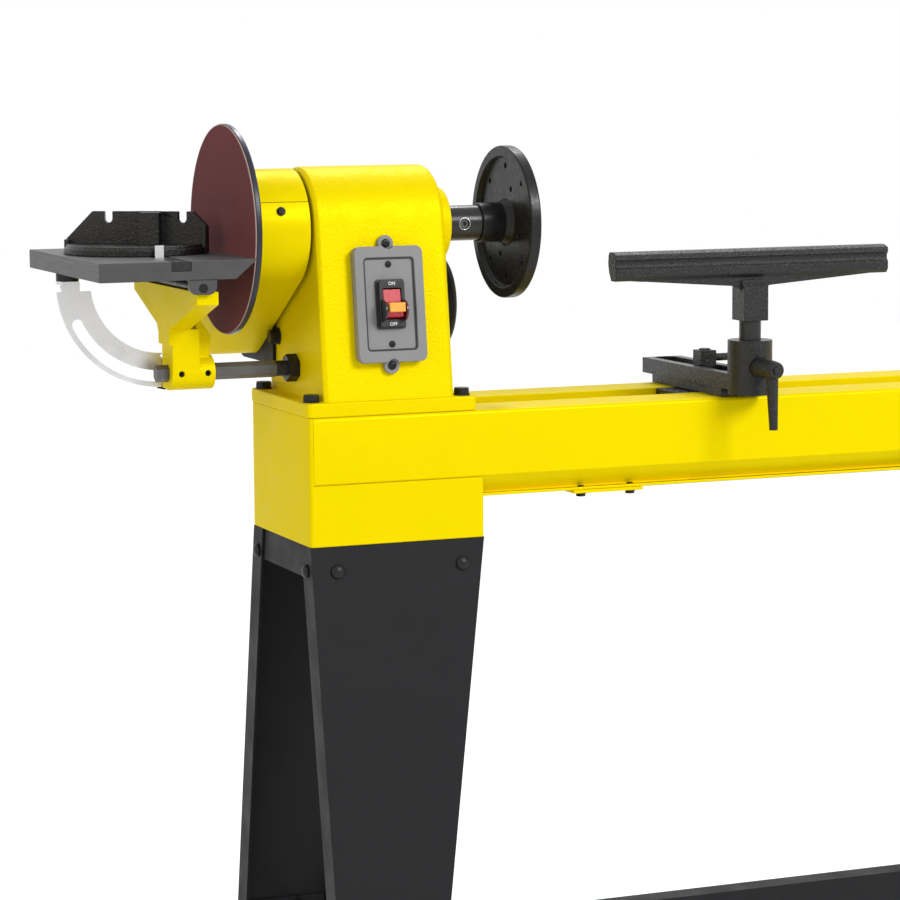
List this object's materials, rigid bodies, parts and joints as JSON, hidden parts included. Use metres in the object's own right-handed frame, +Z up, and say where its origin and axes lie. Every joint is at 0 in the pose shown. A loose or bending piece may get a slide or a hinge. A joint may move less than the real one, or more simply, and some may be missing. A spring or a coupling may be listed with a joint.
{
  "type": "wood turning lathe with outboard disc sander",
  "caption": "Bench-height wood lathe on splayed sheet legs: two-rail bed, leaning headstock, belt drive, faceplate, tool rest, tailstock and a disc sander with tilting table and mitre gauge.",
  "frame": {"origin": "on the floor, under the middle of the machine's length and width", "axes": "+X along the bed from the disc sander to the tailstock, +Y to the back where the motor is, +Z up"},
  "size_m": [1.6607, 0.4154, 1.1045],
  "materials": {
    "yellow_paint": "machine enamel, slight orange peel",
    "charcoal_paint": "satin dark grey paint",
    "motor_paint": "satin black paint",
    "black_casting": "black enamel over a sand-cast skin",
    "black_steel": "black oxide",
    "drawn_steel": "cold drawn",
    "bright_steel": "turned bright",
    "dark_steel": "oiled dark steel",
    "zinc_plate": "bright zinc plated sheet",
    "grey_iron": "ground grey iron",
    "disc_alloy": "dark anodised alloy disc",
    "abrasive_sheet": "coated abrasive",
    "belt_rubber": "moulded rubber",
    "switch_grey": "textured grey moulding",
    "black_plastic": "moulded",
    "red_plastic": "moulded",
    "amber_plastic": "moulded"
  },
  "bodies": {
    "stand_and_headstock": {"left_leg_front": "charcoal_paint", "left_leg_rear": "charcoal_paint", "right_leg_front": "charcoal_paint", "right_leg_rear": "charcoal_paint", "leg_top_plates": "charcoal_paint", "leg_cross_braces": "charcoal_paint", "leg_bolts": "black_steel", "stretcher": "charcoal_paint", "left_bed_bracket": "yellow_paint", "right_bed_bracket": "yellow_paint", "front_rail": "yellow_paint", "rear_rail": "yellow_paint", "bed_tie_plates": "yellow_paint", "machine_bolts": "black_steel", "headstock_casting": "yellow_paint", "spindle_bearings": "bright_steel", "belt_guard_body": "yellow_paint", "belt_guard_cover": "yellow_paint", "panel_screws": "black_steel", "motor_mount_plate": "motor_paint", "motor_body": "motor_paint", "motor_end_cover": "motor_paint", "motor_terminal_box": "motor_paint", "cable_gland": "black_plastic", "drive_belt": "belt_rubber", "switch_plate": "switch_grey", "switch_body": "black_plastic", "hex_bar": "drawn_steel", "bar_lock_nut": "black_steel"},
    "spindle_unit": {"spindle": "dark_steel", "spindle_pulley": "grey_iron", "faceplate": "black_steel", "sanding_disc": "disc_alloy", "abrasive_disc": "abrasive_sheet"},
    "motor_rotor": {"motor_shaft": "bright_steel", "motor_pulley": "grey_iron"},
    "rocker": {"switch_rocker": "red_plastic"},
    "key": {"safety_key": "amber_plastic"},
    "sander_bracket": {"table_bracket": "yellow_paint", "bracket_set_screws": "black_steel", "table_pivot_pin": "black_steel", "tilt_lock_nut": "black_steel"},
    "sander_table_unit": {"sander_table": "grey_iron", "tilt_quadrant": "zinc_plate", "quadrant_bolt": "black_steel"},
    "mitre_slider": {"mitre_bar": "dark_steel"},
    "mitre_gauge": {"mitre_head": "black_casting"},
    "rest_carriage": {"rest_clamp_block": "black_casting"},
    "carriage_lever": {"rest_clamp_lever": "black_casting"},
    "banjo_base": {"banjo": "black_casting"},
    "rest_post": {"tool_rest_post": "dark_steel"},
    "rest_blade": {"tool_rest": "black_casting"},
    "rest_lever": {"rest_lock_lever": "black_casting"},
    "tailstock_unit": {"tailstock_casting": "yellow_paint", "tailstock_clamp": "black_casting"},
    "tailstock_lever": {"tailstock_lock_lever": "black_casting"},
    "quill_unit": {"quill": "bright_steel"},
    "centre_point": {"live_centre": "bright_steel"},
    "wheel_and_screw": {"handwheel": "black_casting"},
    "quill_lever": {"quill_lock_lever": "black_casting"}
  },
  "joints": [
    {"name": "spindle_turn", "type": "hinge", "parent": "stand_and_headstock", "child": "spindle_unit", "pos_m": [-0.5282, 0, 1.003], "axis": [1, 0, 0], "continuous": true},
    {"name": "motor_turn", "type": "hinge", "parent": "stand_and_headstock", "child": "motor_rotor", "pos_m": [-0.5682, 0.12, 0.916], "axis": [1, 0, 0], "continuous": true},
    {"name": "switch_rock", "type": "hinge", "parent": "stand_and_headstock", "child": "rocker", "pos_m": [-0.52495, -0.08012, 0.93146], "axis": [1, 0, 0], "range_deg": [0, 14]},
    {"name": "key_pull", "type": "slide", "parent": "rocker", "child": "key", "axis": [0, -0.9919, 0.1271], "range_m": [0, 0.012]},
    {"name": "bracket_slide", "type": "slide", "parent": "stand_and_headstock", "child": "sander_bracket", "axis": [1, 0, 0], "range_m": [-0.025, 0.002]},
    {"name": "table_tilt", "type": "hinge", "parent": "sander_bracket", "child": "sander_table_unit", "pos_m": [-0.7242, 0, 0.955], "axis": [0, -1, 0], "range_deg": [0, 45]},
    {"name": "mitre_slide", "type": "slide", "parent": "sander_table_unit", "child": "mitre_slider", "axis": [0, 1, 0], "range_m": [-0.05, 0.08]},
    {"name": "mitre_swivel", "type": "hinge", "parent": "mitre_slider", "child": "mitre_gauge", "pos_m": [-0.7452, 0.03, 0.981], "axis": [0, 0, 1], "range_deg": [-27, 93]},
    {"name": "carriage_slide", "type": "slide", "parent": "stand_and_headstock", "child": "rest_carriage", "axis": [1, 0, 0], "range_m": [-0.12, 0.5]},
    {"name": "carriage_clamp", "type": "hinge", "parent": "rest_carriage", "child": "carriage_lever", "pos_m": [-0.1472, 0, 0.855], "axis": [0, 0, 1], "range_deg": [0, 60]},
    {"name": "banjo_slide", "type": "slide", "parent": "rest_carriage", "child": "banjo_base", "axis": [0, 1, 0], "range_m": [-0.06, 0.05]},
    {"name": "rest_lift", "type": "slide", "parent": "banjo_base", "child": "rest_post", "axis": [0, 0, 1], "range_m": [-0.005, 0.03]},
    {"name": "rest_swivel", "type": "hinge", "parent": "rest_post", "child": "rest_blade", "pos_m": [-0.1472, -0.1, 0.925], "axis": [0, 0, 1], "continuous": true},
    {"name": "rest_lock", "type": "hinge", "parent": "banjo_base", "child": "rest_lever", "pos_m": [-0.1472, -0.14, 0.8575], "axis": [0, 1, 0], "range_deg": [-90, 90]},
    {"name": "tailstock_slide", "type": "slide", "parent": "stand_and_headstock", "child": "tailstock_unit", "axis": [1, 0, 0], "range_m": [-0.55, 0]},
    {"name": "tailstock_clamp_turn", "type": "hinge", "parent": "tailstock_unit", "child": "tailstock_lever", "pos_m": [0.6418, -0.069, 0.867], "axis": [0, 1, 0], "range_deg": [-90, 30]},
    {"name": "handwheel_turn", "type": "hinge", "parent": "tailstock_unit", "child": "wheel_and_screw", "pos_m": [0.7218, 0, 1.003], "axis": [1, 0, 0], "range_deg": [0, 3600]},
    {"name": "quill_slide", "type": "slide", "parent": "tailstock_unit", "child": "quill_unit", "axis": [-1, 0, 0], "range_m": [0, 0.0502]},
    {"name": "centre_turn", "type": "hinge", "parent": "quill_unit", "child": "centre_point", "pos_m": [0.5608, 0, 1.003], "axis": [1, 0, 0], "continuous": true},
    {"name": "quill_lock_turn", "type": "hinge", "parent": "tailstock_unit", "child": "quill_lever", "pos_m": [0.6118, 0, 1.025], "axis": [0, 0, 1], "range_deg": [-30, 60]}
  ],
  "couplings": [
    {"joint": "motor_turn", "follows": "spindle_turn", "ratio": 1.7516},
    {"joint": "quill_slide", "follows": "handwheel_turn", "m_per_rad": 0.00079577}
  ]
}
